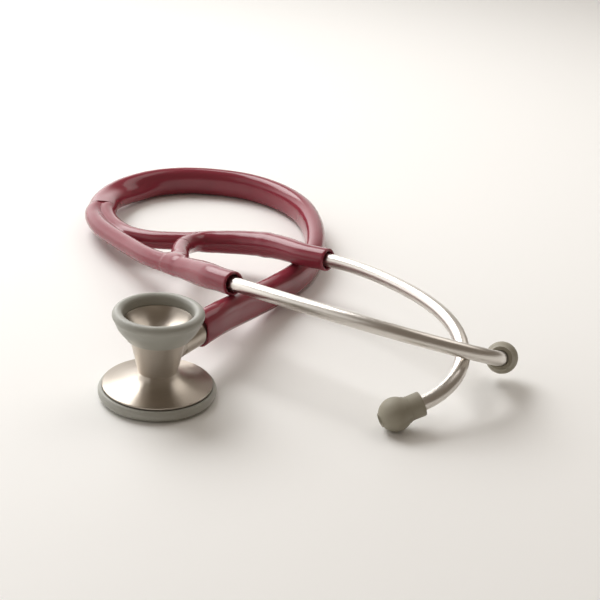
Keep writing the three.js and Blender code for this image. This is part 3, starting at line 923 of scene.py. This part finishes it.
def chestpiece_body():
    """The disc, cone and bell are turned in one. The boss is added, and the stem's bore, the sound
    channel and the screw holes are cut."""
    flare = [[21.9, 6.13], [18.0, 6.6], [14.0, 7.5], [11.0, 8.8], [9.1, 10.2], [8.05, 11.55]]
    bowl = [[13.5, 33.75], [12.9, 32.5], [11.6, 30.9], [9.6, 29.3], [7.2, 27.9], [5.0, 26.8], [2.5, 25.8]]
    base = rounded([[21.9, 5.3], [DISC_RADIUS, 5.35], [DISC_RADIUS, DISC_TOP], [21.9, 6.13]], 0.22, 4)
    cone = [[NECK_RADIUS, NECK_Z], [NECK_RADIUS + 0.05, NECK_Z + 0.25], [CONE_TOP_RADIUS, CONE_TOP_Z]]
    lip = [[14.9, 33.4], [14.9, 34.5], [14.1, 34.5], [14.1, 33.9]]
    bell = rounded([[12.6, 28.6], [14.5, 31.6], *lip], 0.2, 3)
    profile = [[CHANNEL_RADIUS, 3.2], [19.6, 1.9], [21.8, 1.9], [21.8, 5.3]]
    profile += [*base, *smooth_route(flare, 0.5), *cone, *bell]
    profile += [[13.6, 33.9], *smooth_route(bowl, 0.5), [CHANNEL_RADIUS, 25.4]]
    piece = turned("turned_body", profile)
    boss_outline = rounded([
        [0, 0], [BOSS_RADIUS, 0], [BOSS_RADIUS, BOSS_END], [4.3, BOSS_END], [4.3, 11.0], [0, 11.0],
    ], 0.35, 4)
    boolean(piece, turned("boss", boss_outline, on_stem(0), STEM_AXIS), "UNION")
    bore = cylinder(JOURNAL_BORE, JOURNAL_END - 0.3, 13)
    boolean(piece, turned("bore", bore, on_stem(0), STEM_AXIS), "DIFFERENCE")
    channel = cylinder(CHANNEL_RADIUS - 0.02, 2, 27)
    boolean(piece, turned("channel", channel, segments=48), "DIFFERENCE")
    hole = cylinder(SCREW_HOLE_RADIUS, 1, STEM_Z)
    for offset in (SCREW_OFFSET, -SCREW_OFFSET):
        boolean(piece, turned("hole", hole, on_stem(offset, 0), segments=32), "DIFFERENCE")
    place(piece, "chestpiece", TURNED_STEEL, "chestpiece_steel", "chestpiece_body")


def bell_ring():
    sleeve = [[11.85, 26.6], [12.6, 26.5], [12.9, 26.65], [13.1, 26.95], [14.55, 28.75], [15.9, 30.6]]
    profile = [*sleeve, [16.7, 32.0], [17.2, 33.2], [17.5, 34.2]]
    profile += arc((BEAD_RADIUS, BEAD_Z), BEAD_SECTION, -38, 182, 42)
    profile += [[13.65, 34.2], [13.7, 34.1], [13.8, 34.1], [13.8, 34.8], [15.2, 34.8]]
    profile += [[15.2, 33.4], [14.8, 31.7], [12.9, 28.8]]
    place(turned("bell_sleeve_ring", profile), "chestpiece", SILICONE, "grey_silicone", "bell_ring")


def diaphragm_rim():
    profile = rounded([
        [20.7, 0.0], [21.8, 0.1], [22.9, 0.6], [23.6, 1.4], [23.9, 2.4], [23.9, 3.6], [23.5, 4.6],
        [23.0, 5.0], [22.1, 5.0], [22.1, 0.8], [20.7, 0.8],
    ], 0.5, 5)
    place(turned("snap_rim", profile), "chestpiece", SILICONE, "grey_silicone", "diaphragm_rim")


def diaphragm():
    profile = rounded([
        [0, 0], [20.4, 0], [20.4, 1.1], [21.8, 1.1], [21.8, 1.6], [19.9, 1.6], [19.9, 0.5], [0, 0.5],
    ], 0.18, 3)
    place(turned("diaphragm_sheet", profile), "chestpiece", RESIN, "diaphragm_resin", "diaphragm")


def stem():
    """Journal with grooves for the retaining screw, the detent ball and the seal, then shoulder, body
    and the nipple in the tubing."""
    groove, seal_groove, neck, nipple, bore = 3.1, 2.75, 4.2, 2.9, 1.6
    profile = rounded([
        [0, JOURNAL_END], [JOURNAL_RADIUS, JOURNAL_END],
        [JOURNAL_RADIUS, -5.8], [groove, -5.8], [groove, -3.4], [JOURNAL_RADIUS, -3.4],
        [JOURNAL_RADIUS, 3.2], [groove, 3.2], [groove, 6.0], [JOURNAL_RADIUS, 6.0],
        [JOURNAL_RADIUS, 8.0], [seal_groove, 8.0], [seal_groove, 9.4], [JOURNAL_RADIUS, 9.4],
        [JOURNAL_RADIUS, SHOULDER], [STEM_RADIUS, SHOULDER],
        [STEM_RADIUS, TUBE_START - 2.8], [5.4, TUBE_START - 2.3],
        [neck, TUBE_START - 2.3], [neck, TUBE_START - 0.3],
        [nipple, TUBE_START - 0.3], [nipple, TUBE_START + 7.5], [2.4, TUBE_START + 9],
        [bore, TUBE_START + 9], [bore, 0.6], [0, 0.6],
    ], 0.3, 4)
    piece = turned("swivel_stem", profile, on_stem(0), STEM_AXIS, 96)
    place(piece, "tubing", TURNED_STEEL, "stem_steel", "stem")
    seal = turned("seal_ring", arc((3.43, 0), 0.4, 0, 345, 23), on_stem(8.7), STEM_AXIS, 72)
    place(seal, "tubing", SEAL_RUBBER, "seal_rubber", "stem_seal")


def detent():
    """Ball and spring, and the grub screws that hold them and the stem."""
    radius = DETENT_BALL_RADIUS
    ball_outline = [[0, -radius], *arc((0, 0), radius, -82.5, 82.5, 22), [0, radius]]
    ball = turned("detent_bearing", ball_outline, on_stem(SCREW_OFFSET, STEM_Z - 4.45), segments=48)
    place(ball, "detent_ball", SPRING_STEEL, "spring_steel", "detent_ball")
    per_turn, low, high = 24, 8.2, 12.3
    steps = np.arange(COIL_TURNS * per_turn + 1)
    angles = steps / per_turn * 2 * math.pi
    helix = on_stem(SCREW_OFFSET, low) + np.column_stack([
        COIL_RADIUS * np.cos(angles), COIL_RADIUS * np.sin(angles), (high - low) * steps / steps[-1],
    ])
    coil = swept_bar("detent_coil", helix, circle_outline(COIL_WIRE_RADIUS, 12))
    place(coil, "chestpiece", SPRING_STEEL, "spring_steel", "detent_spring")
    crest, root, pitch = 1.3, 1.16, 0.4
    driver_slot = (1.5 * MM, 0.25 * MM, 0.7 * MM)
    for name, node, offset, base, top, point, tip in (
        ("detent_plug", "detent_screw", SCREW_OFFSET, 4.2, 7.6, 0.5, 8.4),
        ("retaining_plug", "retaining_screw", -SCREW_OFFSET, 9.0, 13.2, 1.0, STEM_Z - 3.5),
    ):
        profile = [[0, base], [1.15, base]]
        for z in np.arange(base + 0.2, top - 0.2, pitch):
            profile += [[crest, z], [root, z + 0.2]]
        profile += [[root, top], [point, top], [point, tip], [0, tip]]
        screw = turned(name, rounded(profile, 0.05, 2), on_stem(offset, 0), segments=48)
        bpy.ops.mesh.primitive_cube_add(location=on_stem(offset, base) * MM, scale=driver_slot)
        boolean(screw, bpy.context.object, "DIFFERENCE")
        place(screw, "chestpiece", SCREW_STEEL, "screw_steel", node)


chestpiece_body()
bell_ring()
diaphragm_rim()
diaphragm()
stem()
detent()

# ---------------------------------------------------------------- floor and light

FLOOR_REACH = 1.6                         # metres from the middle to a side
AIM = (0.0, 0.22, 0.0)                    # where the softboxes point
SOFTBOX_SPREAD = math.radians(100)
GLOW_DIRECTION = (-0.7, 0.71, 0.0)
GLOW_EDGE, GLOW_FULL = 0.2, 0.95          # cosines of the angle to that direction
GLOW_TOP, GLOW_FULL_BELOW = 0.62, 0.28    # sines of the height over the horizon
ROOM_COLOR, GLOW_COLOR = (0.205, 0.172, 0.140), (2.0, 1.985, 1.96)


def add_floor():
    mesh = bpy.data.meshes.new("floor")
    corners = [(x * FLOOR_REACH, y * FLOOR_REACH, 0) for x, y in ((-1, -1), (1, -1), (1, 1), (-1, 1))]
    mesh.from_pydata(corners, [], [(0, 1, 2, 3)])
    floor = bpy.data.objects.new("floor", mesh)
    bpy.context.scene.collection.objects.link(floor)
    finish = Finish("floor", (0.90, 0.893, 0.872), roughness=0.6)
    mesh.materials.append(finish.material)


def add_softbox(name, location, size, power, color=(1, 1, 1)):
    """A softbox turned to the middle of the loop, brightest straight ahead of it."""
    data = bpy.data.lights.new(name, "AREA")
    data.shape = "RECTANGLE"
    data.size, data.size_y = size
    data.energy = power
    data.color = color
    data.spread = SOFTBOX_SPREAD
    light = bpy.data.objects.new(name, data)
    light.location = location
    aim = Vector(AIM) - Vector(location)
    light.rotation_mode = "QUATERNION"
    light.rotation_quaternion = aim.to_track_quat("-Z", "Y")
    light.visible_camera = False
    bpy.context.scene.collection.objects.link(light)


def add_world():
    """A pale glow low behind the object, to its left, in a dim warm room."""
    world = bpy.data.worlds.new("studio")
    world.use_nodes = True
    tree = world.node_tree
    direction = tree.nodes.new("ShaderNodeTexCoord")
    toward_glow = tree.nodes.new("ShaderNodeVectorMath")
    toward_glow.operation = "DOT_PRODUCT"
    toward_glow.inputs[1].default_value = GLOW_DIRECTION
    split = tree.nodes.new("ShaderNodeSeparateXYZ")
    glow = tree.nodes.new("ShaderNodeMath")
    glow.operation = "MULTIPLY"
    tree.links.new(direction.outputs["Generated"], toward_glow.inputs[0])
    tree.links.new(direction.outputs["Generated"], split.inputs[0])
    limits = (
        (toward_glow.outputs["Value"], GLOW_EDGE, GLOW_FULL),
        (split.outputs["Z"], GLOW_TOP, GLOW_FULL_BELOW),
    )
    for factor, (value, start, end) in zip(glow.inputs, limits):
        fade = tree.nodes.new("ShaderNodeMapRange")
        fade.interpolation_type = "SMOOTHSTEP"
        fade.inputs["From Min"].default_value = start
        fade.inputs["From Max"].default_value = end
        tree.links.new(value, fade.inputs["Value"])
        tree.links.new(fade.outputs[0], factor)
    sky = mixed_color(tree, glow.outputs[0], ROOM_COLOR, GLOW_COLOR)
    tree.links.new(sky, tree.nodes["Background"].inputs["Color"])
    bpy.context.scene.world = world


add_floor()
add_softbox("left_softbox", (-0.53, 0.74, 0.87), size=(0.9, 0.8), power=4.75)
add_softbox("right_softbox", (0.59, 0.64, 0.91), size=(0.7, 0.9), power=1.0, color=(1, 0.97, 0.93))
add_softbox("front_fill", (-0.90, -0.35, 0.60), size=(0.9, 0.9), power=0.5)
add_world()
bpy.context.scene.view_settings.view_transform = "Standard"
